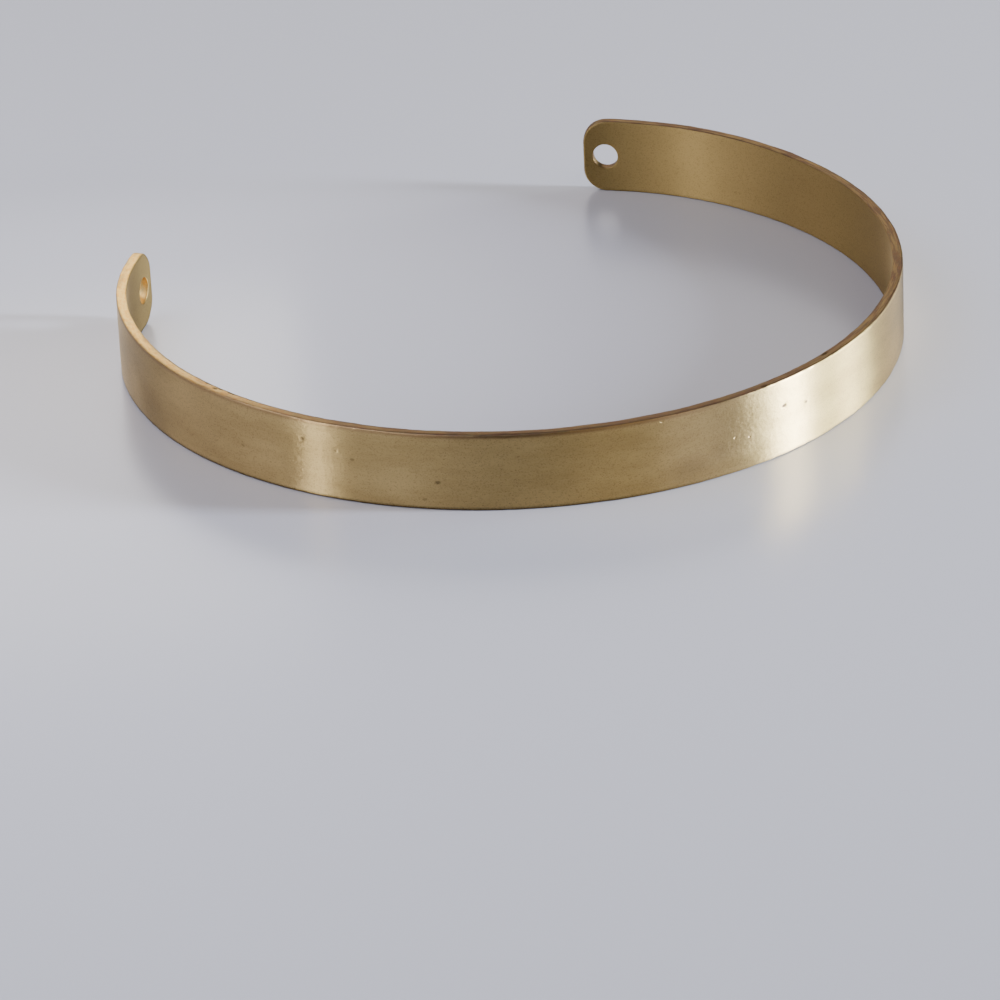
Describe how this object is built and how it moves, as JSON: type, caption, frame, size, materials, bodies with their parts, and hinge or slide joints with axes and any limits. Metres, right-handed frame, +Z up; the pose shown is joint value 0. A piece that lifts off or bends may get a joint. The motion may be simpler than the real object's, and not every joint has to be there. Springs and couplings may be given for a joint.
{
  "type": "cuff bracelet",
  "caption": "Plain open cuff bracelet: a flat satin brass strip bent into a loop with a gap, its rounded ends drilled.",
  "frame": {"origin": "on the table, under the middle of the loop's outline, the cuff lying on its side", "axes": "+Z up along the strip's width, -Y towards the closed front, +Y towards the gap between the ends, +X across the loop's widest part"},
  "size_m": [0.0596, 0.0506, 0.006],
  "materials": {
    "brass": "satin, brushed along the strip, lightly tarnished"
  },
  "bodies": {
    "root": {"cuff": "brass"}
  },
  "joints": []
}
